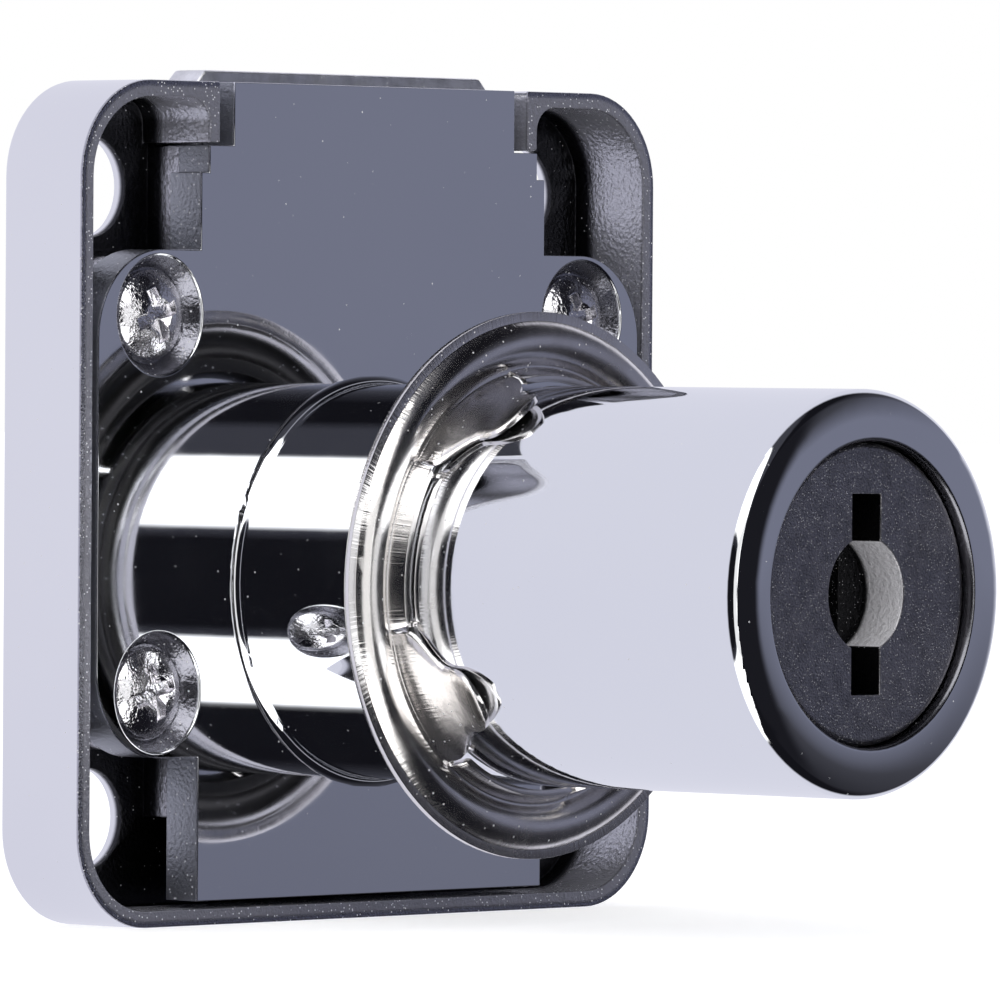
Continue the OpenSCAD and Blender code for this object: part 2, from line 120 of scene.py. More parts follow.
SHADE_GRAIN = 6
SHADE_EDGE: Span = (0.35, 0.75)
HAZE_GRAIN = 3 * MM
HAZE_EDGE: Span = (0.4, 0.75)
# The painted glints: small bright white dots in the colour that stand in for sparkling
# highlights.
PAINTED_GLINT_COLOUR: Colour = (0.93, 0.93, 0.96)
PAINTED_GLINT_ROUGHNESS = 0.2
SPECK_EDGE: Span = (0.26, 0.104)
SPECK_CHOICE: Span = (-0.01, 0.01)

MERGE_DISTANCE = 0.001 * MM
FLAT_BELOW = 0.5
ROUND_ABOVE = 35.0
ROUND_STEPS = 2
SMOOTH_BELOW = 40.0
LARGE_FACES_LEAD = 100


class Operation(Enum):
    """What a Math node does."""

    ADD = "ADD"
    SUBTRACT = "SUBTRACT"
    MULTIPLY = "MULTIPLY"
    DIVIDE = "DIVIDE"
    POWER = "POWER"
    ABSOLUTE = "ABSOLUTE"
    MINIMUM = "MINIMUM"
    MAXIMUM = "MAXIMUM"
    ARCTAN2 = "ARCTAN2"


class Output(Enum):
    """The node that a graph ends in."""

    MATERIAL = "ShaderNodeOutputMaterial"
    WORLD = "ShaderNodeOutputWorld"


class Signal:
    """A value socket that takes part in arithmetic; each operator adds a Math node."""

    def __init__(self, graph: Graph, socket: bpy.types.NodeSocket) -> None:
        """Wraps a socket of a graph."""
        self.graph = graph
        self.socket = socket

    def _math(self, operation: Operation, *values: Value) -> Signal:
        """Adds one Math node.

        Args:
            operation: What the node does.
            values: What goes into its sockets, in order.

        Returns:
            The node's result.
        """
        settings = {"operation": operation.value}
        made = self.graph.node("ShaderNodeMath", settings, dict(enumerate(values)))
        return Signal(self.graph, made.outputs[0])

    def __add__(self, other: Value) -> Signal:
        """This plus another value."""
        return self._math(Operation.ADD, self, other)

    def __radd__(self, other: Value) -> Signal:
        """A number plus this."""
        return self._math(Operation.ADD, other, self)

    def __sub__(self, other: Value) -> Signal:
        """This minus another value."""
        return self._math(Operation.SUBTRACT, self, other)

    def __rsub__(self, other: Value) -> Signal:
        """A number minus this."""
        return self._math(Operation.SUBTRACT, other, self)

    def __mul__(self, other: Value) -> Signal:
        """This times another value."""
        return self._math(Operation.MULTIPLY, self, other)

    def __rmul__(self, other: Value) -> Signal:
        """A number times this."""
        return self._math(Operation.MULTIPLY, other, self)

    def __truediv__(self, other: Value) -> Signal:
        """This divided by another value."""
        return self._math(Operation.DIVIDE, self, other)

    def __pow__(self, other: Value) -> Signal:
        """This to a power."""
        return self._math(Operation.POWER, self, other)

    def __neg__(self) -> Signal:
        """The negative of this."""
        return self._math(Operation.MULTIPLY, self, -1.0)

    def size(self) -> Signal:
        """This without its sign."""
        return self._math(Operation.ABSOLUTE, self)

    def least(self, other: Value) -> Signal:
        """The smaller of this and another value."""
        return self._math(Operation.MINIMUM, self, other)

    def most(self, other: Value) -> Signal:
        """The larger of this and another value."""
        return self._math(Operation.MAXIMUM, self, other)

    def length_with(self, other: Signal) -> Signal:
        """The length of the vector that this and another value make."""
        return (self * self + other * other) ** 0.5

    def turn_from(self, other: Signal) -> Signal:
        """The angle of the vector (other, this), in degrees."""
        return self._math(Operation.ARCTAN2, self, other) * math.degrees(1.0)

    def step(self, low: float, high: float) -> Signal:
        """A smooth step over this value.

        Args:
            low: Where the result is 0.
            high: Where the result is 1; it may be less than low.

        Returns:
            The step, from 0 to 1.
        """
        made = self.graph.node(
            "ShaderNodeMapRange",
            {"interpolation_type": "SMOOTHSTEP"},
            {"Value": self, "From Min": min(low, high), "From Max": max(low, high)},
        )
        result = Signal(self.graph, made.outputs[0])
        return 1 - result if low > high else result


class Graph:
    """The nodes of one material or world."""

    def __init__(self, tree: bpy.types.NodeTree, output: Output = Output.MATERIAL) -> None:
        """Empties a node tree and keeps it.

        Args:
            tree: The node tree.
            output: The node that it ends in.
        """
        self.tree = tree
        self.output = output
        tree.nodes.clear()

    def node(
        self, kind: str, settings: dict | None = None, inputs: dict | None = None
    ) -> bpy.types.Node:
        """Adds one node.

        Args:
            kind: The node's type.
            settings: Its settings, set first; "stops" holds a ramp's places and colours.
            inputs: The values or links of its sockets, by name or number.

        Returns:
            The new node.
        """
        made = self.tree.nodes.new(kind)
        for name, value in (settings or {}).items():
            if name == "stops":
                self._fill_ramp(made.color_ramp, value)
            else:
                setattr(made, name, value)
        for key, value in (inputs or {}).items():
            self.feed(made.inputs[key], value)
        return made

    @staticmethod
    def _fill_ramp(ramp: bpy.types.ColorRamp, stops: Sequence[tuple[float, Colour]]) -> None:
        """Gives a ramp its stops.

        Args:
            ramp: The ramp.
            stops: The place, from 0 to 1, and the colour of each stop.
        """
        while len(ramp.elements) < len(stops):
            ramp.elements.new(1.0)
        for element, (place, colour) in zip(ramp.elements, stops):
            element.position = place
            element.color = (*colour, 1.0)

    def feed(self, socket: bpy.types.NodeSocket, value: object) -> None:
        """Links or sets one input socket.

        Args:
            socket: The input.
            value: A Signal, an output socket, a number, or a colour or vector.
        """
        if isinstance(value, Signal):
            self.tree.links.new(value.socket, socket)
        elif isinstance(value, bpy.types.NodeSocket):
            self.tree.links.new(value, socket)
        elif socket.type == "RGBA":
            socket.default_value = (*value, 1.0)
        else:
            socket.default_value = value

    def place(self) -> bpy.types.NodeSocket:
        """The object coordinates, in metres."""
        return self.node("ShaderNodeTexCoord").outputs["Object"]

    def split(self, vector: bpy.types.NodeSocket) -> tuple[Signal, Signal, Signal]:
        """The three parts of a vector."""
        parts = self.node("ShaderNodeSeparateXYZ", inputs={0: vector}).outputs
        return Signal(self, parts[0]), Signal(self, parts[1]), Signal(self, parts[2])

    def join(self, x: Value, y: Value, z: Value) -> bpy.types.NodeSocket:
        """A vector from three parts."""
        return self.node("ShaderNodeCombineXYZ", inputs={0: x, 1: y, 2: z}).outputs[0]

    def noise(self, vector: bpy.types.NodeSocket, grain: float, detail: float = 3.0) -> Signal:
        """Soft noise.

        Args:
            vector: Where it is read.
            grain: The size of its blotches, in metres.
            detail: How many finer layers it has.

        Returns:
            The noise, from 0 to 1.
        """
        inputs = {"Vector": vector, "Scale": 1 / grain, "Detail": detail}
        return Signal(self, self.node("ShaderNodeTexNoise", inputs=inputs).outputs[0])

    def painted_glints(self, vector: bpy.types.NodeSocket, spacing: float, kept: Value) -> Signal:
        """Small round dots for painted glints, at most one to a cell.

        Args:
            vector: Where they are read.
            spacing: The distance between cells, in metres.
            kept: The share of the cells that have a speck.

        Returns:
            A mask that is 1 in a speck.
        """
        inputs = {"Vector": vector, "Scale": 1 / spacing}
        cells = self.node("ShaderNodeTexVoronoi", {"feature": "F1"}, inputs)
        gap = Signal(self, cells.outputs["Distance"])
        chance, _, _ = self.split(cells.outputs["Color"])
        return gap.step(*SPECK_EDGE) * (kept - chance).step(*SPECK_CHOICE)

    def tone(
        self,
        share: Signal,
        first: Colour | bpy.types.NodeSocket,
        second: Colour | bpy.types.NodeSocket,
    ) -> bpy.types.NodeSocket:
        """A colour between two.

        Args:
            share: 0 for the first colour and 1 for the second.
            first: One colour.
            second: The other colour.

        Returns:
            The mixed colour's socket.
        """
        inputs = {0: share, MIX_FIRST: first, MIX_SECOND: second}
        return self.node("ShaderNodeMix", {"data_type": "RGBA"}, inputs).outputs[MIX_COLOUR]

    def end(self, shader: bpy.types.Node) -> None:
        """Ends the graph in its output."""
        self.node(self.output.value, inputs={"Surface": shader.outputs[0]})


def new_material(name: str) -> tuple[bpy.types.Material, Graph]:
    """Makes an empty material.

    Args:
        name: The material's name.

    Returns:
        The material and its graph.
    """
    material = bpy.data.materials.new(name)
    material.use_nodes = True
    return material, Graph(material.node_tree)


@dataclass(frozen=True)
class Zone:
    """A stretch of a surface with a skin of its own; in places that skin carries painted shade,
    painted light and painted glints.

    Attributes:
        tint: Its colour.
        roughness: Its roughness.
        pebble: The height of its relief.
        grain: The size of that relief's bumps.
        glint: How much larger the share of cells with a painted glint, a bright white speck, is.
        bare: How much less metallic it is.
    """

    tint: Colour
    roughness: float
    pebble: float
    grain: float
    glint: float = 0.0
    bare: float = 0.0


@dataclass(frozen=True)
class Metal:
    """What all metal finishes share.

    Attributes:
        name: The finish's name, which is also its material slot.
        tint: One of its two colours.
        shade: The other colour.
        roughness: Its least roughness.
        haze: How much rougher its hazy patches are.
        relief: The height of its relief.
        grain: The size of that relief's bumps.
        glint: The share of cells with a painted glint, a bright white speck.
        speck: The distance between those cells.
    """

    name: str
    tint: Colour
    shade: Colour
    roughness: float
    haze: float
    relief: float
    grain: float
    glint: float = 0.02
    speck: float = 0.3 * MM

    def zones(self, graph: Graph, place: bpy.types.NodeSocket) -> list[tuple[Signal, Zone]]:
        """The masks and skins of the stretches that differ; a plain metal has none."""
        return []

    def relief_height(self, graph: Graph, place: bpy.types.NodeSocket) -> Signal:
        """The relief, in metres."""
        return graph.noise(place, self.grain, 2.0) * self.relief

    def roughness_value(self, graph: Graph, place: bpy.types.NodeSocket) -> Signal:
        """The roughness over the surface, with hazy patches."""
        return self.roughness + self.haze * graph.noise(place, HAZE_GRAIN, 4.0).step(*HAZE_EDGE)

    def material(self) -> bpy.types.Material:
        """Builds the material.

        Returns:
            A metal with its colour, roughness, relief and painted glints from nodes.
        """
        material, graph = new_material(self.name)
        place = graph.place()
        share = graph.noise(place, SHADE_GRAIN * self.grain).step(*SHADE_EDGE)
        colour = graph.tone(share, self.tint, self.shade)
        roughness = self.roughness_value(graph, place)
        height = self.relief_height(graph, place)
        kept = self.glint
        metallic = 1.0
        for mask, zone in self.zones(graph, place):
            colour = graph.tone(mask, colour, zone.tint)
            roughness = roughness + mask * (zone.roughness - roughness)
            height = height + graph.noise(place, zone.grain) * mask * zone.pebble
            kept = kept + mask * zone.glint
            metallic = metallic - mask * zone.bare
        # Painted glints: bright dull dots painted over the metal in place of sparkling
        # highlights.
        painted_glints = graph.painted_glints(place, self.speck, kept)
        bump_inputs = {"Strength": 1.0, "Distance": 1.0, "Height": height}
        bump = graph.node("ShaderNodeBump", inputs=bump_inputs)
        shader = graph.node(
            "ShaderNodeBsdfPrincipled",
            inputs={
                "Metallic": (metallic - painted_glints).most(0.0),
                "Base Color": graph.tone(painted_glints, colour, PAINTED_GLINT_COLOUR),
                "Roughness": roughness + painted_glints * PAINTED_GLINT_ROUGHNESS,
                "Normal": bump.outputs[0],
            },
        )
        graph.end(shader)
        return material


@dataclass(frozen=True)
class CastShell(Metal):
    """Plated casting: a mirror outside, dull on its rim and within its walls, with painted shade
    on its floor.

    Attributes:
        inside: The skin of the walls' inner side.
        floor: The painted shade on the floor, a near-black skin.
        rim: The skin of the rim.
        straight: Where the straight walls end and the round corners start.
        inner_skin: The distance from a corner's middle where the inner side starts.
        off_back: The depth where the inner side starts.
        at_floor: The depth where the floor starts.
        at_rim: The depth where the rim starts.
    """

    inside: Zone = Zone(
        tint=(0.68, 0.68, 0.75), roughness=0.22, pebble=0.05 * MM, grain=0.2 * MM,
        glint=0.3, bare=0.4,
    )
    # Painted shade: the floor deep in the case is tinted near-black for the shade that falls
    # there.
    floor: Zone = Zone(
        tint=(0.04, 0.04, 0.045), roughness=0.3, pebble=0.02 * MM, grain=0.25 * MM,
        glint=-0.25, bare=-0.4,
    )
    rim: Zone = Zone(
        tint=(0.40, 0.40, 0.45), roughness=0.11, pebble=0.04 * MM, grain=0.12 * MM, glint=0.35
    )
    straight: float = 15.4 * MM
    inner_skin: Span = (4.45 * MM, 4.2 * MM)
    off_back: Span = (-0.3 * MM, -0.6 * MM)
    at_floor: Span = (-2.3 * MM, -1.5 * MM)
    at_rim: Span = (-5.12 * MM, -5.25 * MM)

    def zones(self, graph: Graph, place: bpy.types.NodeSocket) -> list[tuple[Signal, Zone]]:
        """The walls' inner side, the floor with its painted shade, and the rim.

        Args:
            graph: The material's graph.
            place: The object coordinates.

        Returns:
            Each zone with its mask.
        """
        x, y, z = graph.split(place)
        across = (x.size() - self.straight).most(0.0)
        upright = (z.size() - self.straight).most(0.0)
        within = across.length_with(upright).step(*self.inner_skin) * y.step(*self.off_back)
        painted_floor_shade = within * y.step(*self.at_floor)
        front = y.step(*self.at_rim)
        return [(within, self.inside), (painted_floor_shade, self.floor), (front, self.rim)]


@dataclass(frozen=True)
class MirrorChrome(Metal):
    """Polished chrome, with rough cast sides, satin screw dishes and a dull bore, the dishes and
    the bore darkened with painted shade.

    Attributes:
        side: The skin of the plate's sides.
        dish: The satin skin of the dishes round the screws, darkened as painted shade.
        bore: The dull skin of the bore at the plug's head, darkened as painted shade.
        screw_x: The screws' distance from the middle, across.
        screw_z: The screws' distance from the middle, upright.
        behind_face: The depth where the plate's sides start.
        dish_edge: The distance from a screw where its dish ends.
        bore_edge: The radius where the bore ends.
        bore_depth: The depth that is still seen in the bore.
    """

    side: Zone = Zone(
        tint=(0.36, 0.37, 0.41), roughness=0.38, pebble=0.04 * MM, grain=0.18 * MM,
        glint=0.22, bare=0.1,
    )
    # Painted shade: the satin dishes are tinted darker for the shade in these recesses.
    dish: Zone = Zone(
        tint=(0.28, 0.28, 0.32), roughness=0.2, pebble=0.03 * MM, grain=0.5 * MM, glint=0.1
    )
    # Painted shade: the bore is tinted dark for the shadow on its wall.
    bore: Zone = Zone(
        tint=(0.2, 0.2, 0.22), roughness=0.25, pebble=0.01 * MM, grain=0.3 * MM, glint=0.02
    )
    screw_x: float = 14.75 * MM
    screw_z: float = 8.9 * MM
    behind_face: Span = (-5.26 * MM, -5.16 * MM)
    dish_edge: Span = (3.2 * MM, 3.0 * MM)
    bore_edge: Span = (7.24 * MM, 7.18 * MM)
    bore_depth: Span = (-30 * MM, -31 * MM)

    def zones(self, graph: Graph, place: bpy.types.NodeSocket) -> list[tuple[Signal, Zone]]:
        """The plate's sides, the screw dishes and the bore at the plug's head; the dishes and the
        bore carry painted shade.

        Args:
            graph: The material's graph.
            place: The object coordinates.

        Returns:
            Each zone with its mask.
        """
        x, y, z = graph.split(place)
        behind = y.step(*self.behind_face)
        across = x.size() - self.screw_x
        upright = z.size() - self.screw_z
        near = across.length_with(upright).step(*self.dish_edge)
        radius = x.length_with(z - AXIS_Z)
        reach = radius.step(*self.bore_edge) * y.step(*self.bore_depth)
        return [(behind, self.side), (behind * near, self.dish), (reach, self.bore)]


@dataclass(frozen=True)
class HammeredSteel(Metal):
    """Plated screw steel, struck rough.

    Attributes:
        fine: The height of the fine skin over the dents.
        fine_grain: The size of that skin's bumps.
    """

    fine: float = 0.03 * MM
    fine_grain: float = 0.16 * MM

    def relief_height(self, graph: Graph, place: bpy.types.NodeSocket) -> Signal:
        """Coarse dents with a fine skin over them."""
        dents = graph.noise(place, self.grain, 2.0) * self.relief
        return dents + graph.noise(place, self.fine_grain, 2.0) * self.fine


@dataclass(frozen=True)
class BlastedPlug(Metal):
    """Dark bead-blasted casting, with painted shade in its keyway and a bright turned pocket
    whose wall is painted near-white as painted light.

    Attributes:
        keyway: The painted shade in the keyway and on the pocket's floor, a near-black skin.
        pocket: The skin of the pocket's wall: bright turned metal, made near-white and dull as
            painted light.
        behind_face: The depth where both start.
        pocket_edge: The radius where the pocket ends.
        slot_side: The distance from the middle where the keyway ends, across.
        slot_end: The distance from the axis where the keyway ends, upright.
        pocket_floor: The depth where the pocket's floor starts.
    """

    # Painted shade: the keyway and the pocket's floor are tinted near-black for the shade deep in
    # the slot.
    keyway: Zone = Zone(
        tint=(0.015, 0.015, 0.017), roughness=0.5, pebble=0.02 * MM, grain=0.2 * MM,
        glint=-0.9, bare=-0.75,
    )
    # Painted light: the pocket's wall is near-white and mostly not metallic, so that it looks lit
    # inside its hole; the turned metal is bright too.
    pocket: Zone = Zone(
        tint=(0.97, 0.96, 0.98), roughness=0.2, pebble=0.12 * MM, grain=0.25 * MM,
        glint=0.6, bare=0.95,
    )
    behind_face: Span = (-36.62 * MM, -36.56 * MM)
    pocket_edge: Span = (2.75 * MM, 2.68 * MM)
    slot_side: Span = (1.06 * MM, 1.02 * MM)
    slot_end: Span = (4.75 * MM, 4.68 * MM)
    pocket_floor: Span = (-34.6 * MM, -34.3 * MM)

    def zones(self, graph: Graph, place: bpy.types.NodeSocket) -> list[tuple[Signal, Zone]]:
        """The pocket with its painted light and the keyway with its painted shade, behind the
        face.

        Args:
            graph: The material's graph.
            place: The object coordinates.

        Returns:
            Each zone with its mask.
        """
        x, y, z = graph.split(place)
        up = z - AXIS_Z
        within = y.step(*self.behind_face)
        reach = x.length_with(up).step(*self.pocket_edge)
        slot = x.size().step(*self.slot_side) * up.size().step(*self.slot_end)
        painted_keyway_shade = (slot + reach * y.step(*self.pocket_floor)).least(1.0)
        return [(within * reach, self.pocket), (within * painted_keyway_shade, self.keyway)]


@dataclass(frozen=True)
class DarkLowerBolt(Metal):
    """Cast zinc, darker on the stretch that slides in the case.

    Attributes:
        darker_stretch: The darker skin of that stretch.
        darker_edge: The height where the darker stretch ends.
        wander: How far that edge wanders up and down.
        wander_grain: The size of its waves.
    """

    darker_stretch: Zone = Zone(
        tint=(0.45, 0.45, 0.47), roughness=0.32, pebble=0.01 * MM, grain=0.3 * MM, glint=-0.2
    )
    darker_edge: Span = (19 * MM, 17.8 * MM)
    wander: float = 1.5 * MM
    wander_grain: float = 2 * MM

    def zones(self, graph: Graph, place: bpy.types.NodeSocket) -> list[tuple[Signal, Zone]]:
        """The stretch that stays within the case.

        Args:
            graph: The material's graph.
            place: The object coordinates.

        Returns:
            The zone with its mask.
        """
        _, _, z = graph.split(place)
        edge = z + (graph.noise(place, self.wander_grain) - 0.5) * self.wander
        return [(edge.step(*self.darker_edge), self.darker_stretch)]


@dataclass(frozen=True)
class PressedSheet(Metal):
    """Bright pressed sheet, with turned rings, draw marks on its ridges and painted shade on the
    hollow behind.

    Attributes:
        hollow: The painted shade on the dome's hollow side, a near-black skin.
        faces_back: The normal's part to the back where the hollow side starts.
        dome_edge: The radius where the hollow ends.
        ring_relief: The height of the turned rings.
        ring_grain: The distance between them.
        ridge_outer: The radius where the ridge's marks end.
        ridge_inner: The radius where the ridge's marks start.
        rim_inner: The radius where the rim's marks start.
        mark_relief: The height of the marks.
        mark_grain: The distance between them.
        mark_radius: The radius where that distance is measured.
    """

    # Painted shade: the dome's hollow back is tinted near-black for the shade there.
    hollow: Zone = Zone(
        tint=(0.07, 0.068, 0.065), roughness=0.3, pebble=0.01 * MM, grain=0.4 * MM
    )
    faces_back: Span = (0.1, 0.3)
    dome_edge: Span = (12.2 * MM, 11.9 * MM)
    ring_relief: float = 0.0015 * MM
    ring_grain: float = 0.15 * MM
    ridge_outer: Span = (11.0 * MM, 10.6 * MM)
    ridge_inner: Span = (9.9 * MM, 10.1 * MM)
    rim_inner: Span = (12.2 * MM, 12.6 * MM)
    mark_relief: float = 0.02 * MM
    mark_grain: float = 0.14 * MM
    mark_radius: float = 11 * MM

    def zones(self, graph: Graph, place: bpy.types.NodeSocket) -> list[tuple[Signal, Zone]]:
        """The hollow side of the dome, with its painted shade.

        Args:
            graph: The material's graph.
            place: The object coordinates.

        Returns:
            The zone with its mask.
        """
        _, behind, _ = graph.split(graph.node("ShaderNodeNewGeometry").outputs["Normal"])
        x, _, z = graph.split(place)
        reach = x.length_with(z - AXIS_Z).step(*self.dome_edge)
        return [(behind.step(*self.faces_back) * reach, self.hollow)]

    def relief_height(self, graph: Graph, place: bpy.types.NodeSocket) -> Signal:
        """A soft ripple, faint rings, and marks that run out from the axis on the ridges.

        Args:
            graph: The material's graph.
            place: The object coordinates.

        Returns:
            The relief, in metres.
        """
        x, y, z = graph.split(place)
        up = z - AXIS_Z
        radius = x.length_with(up)
        rings = graph.noise(graph.join(radius, y, 0.0), self.ring_grain, 2.0) * self.ring_relief
        bearing = graph.join(x / radius * self.mark_radius, 0.0, up / radius * self.mark_radius)
        ridges = radius.step(*self.ridge_outer) * radius.step(*self.ridge_inner)
        ridges = ridges + radius.step(*self.rim_inner)
        marks = graph.noise(bearing, self.mark_grain, 2.0) * ridges * self.mark_relief
        return graph.noise(place, self.grain, 2.0) * self.relief + rings + marks


FINISHES: dict[str, Metal] = {
    finish.name: finish
    for finish in (
        CastShell(
            name="case_chrome", tint=(0.86, 0.86, 0.88), shade=(0.82, 0.82, 0.85),
            roughness=0.035, haze=0.04, relief=0.004 * MM, grain=4 * MM,
            glint=0.01, speck=0.2 * MM,
        ),
        MirrorChrome(
            name="plate_chrome", tint=(0.84, 0.85, 0.87), shade=(0.81, 0.82, 0.85),
            roughness=0.03, haze=0.03, relief=0.003 * MM, grain=4 * MM,
            glint=0.01, speck=0.25 * MM,
        ),
        HammeredSteel(
            name="screw_steel", tint=(0.88, 0.87, 0.90), shade=(0.7, 0.69, 0.72),
            roughness=0.12, haze=0.12, relief=0.04 * MM, grain=0.45 * MM,
            glint=0.3, speck=0.2 * MM,
        ),
        DarkLowerBolt(
            name="bolt_zinc", tint=(0.9, 0.9, 0.93), shade=(0.66, 0.66, 0.68),
            roughness=0.4, haze=0.15, relief=0.014 * MM, grain=0.16 * MM,
            glint=0.12, speck=0.2 * MM,
        ),
        BlastedPlug(
            name="plug_zinc", tint=(0.36, 0.35, 0.37), shade=(0.27, 0.265, 0.28),
            roughness=0.3, haze=0.08, relief=0.035 * MM, grain=0.11 * MM,
            glint=0.45, speck=0.1 * MM,
        ),
        Metal(
            name="wafer_brass", tint=(0.80, 0.62, 0.28), shade=(0.62, 0.45, 0.20),
            roughness=0.22, haze=0.15, relief=0.004 * MM, grain=0.5 * MM,
        ),
        Metal(
            name="spring_steel", tint=(0.62, 0.62, 0.65), shade=(0.45, 0.45, 0.48),
            roughness=0.2, haze=0.15, relief=0.002 * MM, grain=0.2 * MM,
        ),
        PressedSheet(
            name="rosette_nickel", tint=(0.84, 0.82, 0.81), shade=(0.72, 0.69, 0.67),
            roughness=0.17, haze=0.12, relief=0.014 * MM, grain=1.0 * MM,
            glint=0.1, speck=0.25 * MM,
        ),
    )
}


class Bench:
    """The mesh operators that the sub-assemblies share."""

    @staticmethod
    def take(piece: bpy.types.Object) -> None:
        """Selects one piece alone and makes it active.

        Args:
            piece: The piece.
        """
        bpy.ops.object.select_all(action="DESELECT")
        piece.select_set(True)
        bpy.context.view_layer.objects.active = piece

    @staticmethod
    def merged_copy(
        node: bpy.types.Object, name: str, kept: Sequence[Span] = ()
    ) -> bpy.types.Object:
        """Copies a CAD node, with its loose triangles joined into whole faces.

        Args:
            node: The CAD node.
            name: The copy's name.
            kept: The stretches along y where faces stay triangles, for narrow rings and
                faces with holes.

        Returns:
            The copy, at the origin.
        """
        piece = node.copy()
        piece.data = node.data.copy()
        piece.name = piece.data.name = name
        piece.parent = None
        for key in list(piece.keys()):
            del piece[key]
        piece.data.materials.clear()
        bpy.context.scene.collection.objects.link(piece)
        Bench.take(piece)
        bpy.ops.mesh.customdata_custom_splitnormals_clear()
        bpy.ops.object.mode_set(mode="EDIT")
        bpy.ops.mesh.select_all(action="SELECT")
        bpy.ops.mesh.remove_doubles(threshold=MERGE_DISTANCE)
        bpy.ops.mesh.select_mode(type="FACE")
        bpy.ops.object.mode_set(mode="OBJECT")
        for face in piece.data.polygons:
            face.select = not any(low < face.center.y < high for low, high in kept)
        bpy.ops.object.mode_set(mode="EDIT")
        bpy.ops.mesh.dissolve_limited(angle_limit=math.radians(FLAT_BELOW))
        bpy.ops.object.mode_set(mode="OBJECT")
        return piece

    @staticmethod
    def select_edges(piece: bpy.types.Object, wanted: Callable[[Vector, Vector], bool]) -> int:
        """Selects the edges whose two ends pass a test, and enters edit mode.

        Args:
            piece: The piece.
            wanted: The test on an edge's two ends.

        Returns:
            How many edges are selected.
        """
        Bench.take(piece)
        bpy.ops.object.mode_set(mode="EDIT")
        bpy.ops.mesh.select_mode(type="EDGE")
        bpy.ops.mesh.select_all(action="DESELECT")
        bpy.ops.object.mode_set(mode="OBJECT")
        points = piece.data.vertices
        count = 0
        for edge in piece.data.edges:
            edge.select = wanted(points[edge.vertices[0]].co, points[edge.vertices[1]].co)
            count += edge.select
        bpy.ops.object.mode_set(mode="EDIT")
        return count

    @staticmethod
    def round_edges(piece: bpy.types.Object, width: float) -> None:
        """Rounds the sharp edges and keeps the flats flat.

        Args:
            piece: The piece.
            width: The rounding's width, in metres.
        """
        Bench.take(piece)
        bevel = piece.modifiers.new("edge", "BEVEL")
        bevel.width = width
        bevel.segments = ROUND_STEPS
        bevel.limit_method = "ANGLE"
        bevel.angle_limit = math.radians(ROUND_ABOVE)
        bevel.use_clamp_overlap = False
        bpy.ops.object.modifier_apply(modifier=bevel.name)

    @staticmethod
    def shade(piece: bpy.types.Object) -> None:
        """Shades a piece smooth, its large flats kept flat.

        Args:
            piece: The piece.
        """
        Bench.take(piece)
        bpy.ops.object.shade_smooth_by_angle(angle=math.radians(SMOOTH_BELOW))
        weights = piece.modifiers.new("weights", "WEIGHTED_NORMAL")
        weights.mode = "FACE_AREA"
        weights.weight = LARGE_FACES_LEAD
        weights.keep_sharp = True
        bpy.ops.object.modifier_apply(modifier=weights.name)


class Paint:
    """The finished materials, each built once."""

    def __init__(self) -> None:
        """Starts with none built."""
        self.built: dict[str, bpy.types.Material] = {}

    def __getitem__(self, name: str) -> bpy.types.Material:
        """The material of a finish, built when first asked for.

        Args:
            name: The finish's name.

        Returns:
            The material.
        """
        if name not in self.built:
            self.built[name] = FINISHES[name].material()
        return self.built[name]


@dataclass
class SubAssembly:
    """A group of pieces.

    Attributes:
        frame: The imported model.
        paint: The finished materials.
    """

    frame: dict
    paint: Paint

    def node(self, name: str) -> bpy.types.Object:
        """A CAD node by name."""
        return self.frame["nodes"][name]

    def dress(
        self, piece: bpy.types.Object, body: str, finish: str, stands_for: Iterable[str]
    ) -> None:
        """Gives a new piece its finish and its place in the frame.

        Args:
            piece: The new piece.
            body: The CAD body it rides on.
            finish: The finish, which is also its material slot.
            stands_for: The CAD nodes it replaces.
        """
        piece.data.materials.clear()
        piece.data.materials.append(self.paint[finish])
        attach(piece, body)
        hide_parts(*stands_for)
        LOG.info("%s: %d faces on body %s", piece.name, len(piece.data.polygons), body)

    def paint_node(self, name: str, finish: str) -> None:
        """Gives a CAD node that stays its finish.

        Args:
            name: The node's name.
            finish: The finish.
        """
        node = self.node(name)
        node.data.materials.clear()
        node.data.materials.append(self.paint[finish])
        LOG.info("%s: painted %s", name, finish)

    def softened(
        self, node: str, name: str, width: float, kept: Sequence[Span] = ()
    ) -> bpy.types.Object:
        """Copies a CAD node's shape and rounds its edges.

        Args:
            node: The CAD node.
            name: The new piece's name.
            width: The rounding's width, in metres.
            kept: The stretches along y where faces stay triangles.

        Returns:
            The new piece.
        """
        piece = Bench.merged_copy(self.node(node), name, kept)
        Bench.round_edges(piece, width)
        Bench.shade(piece)
        return piece


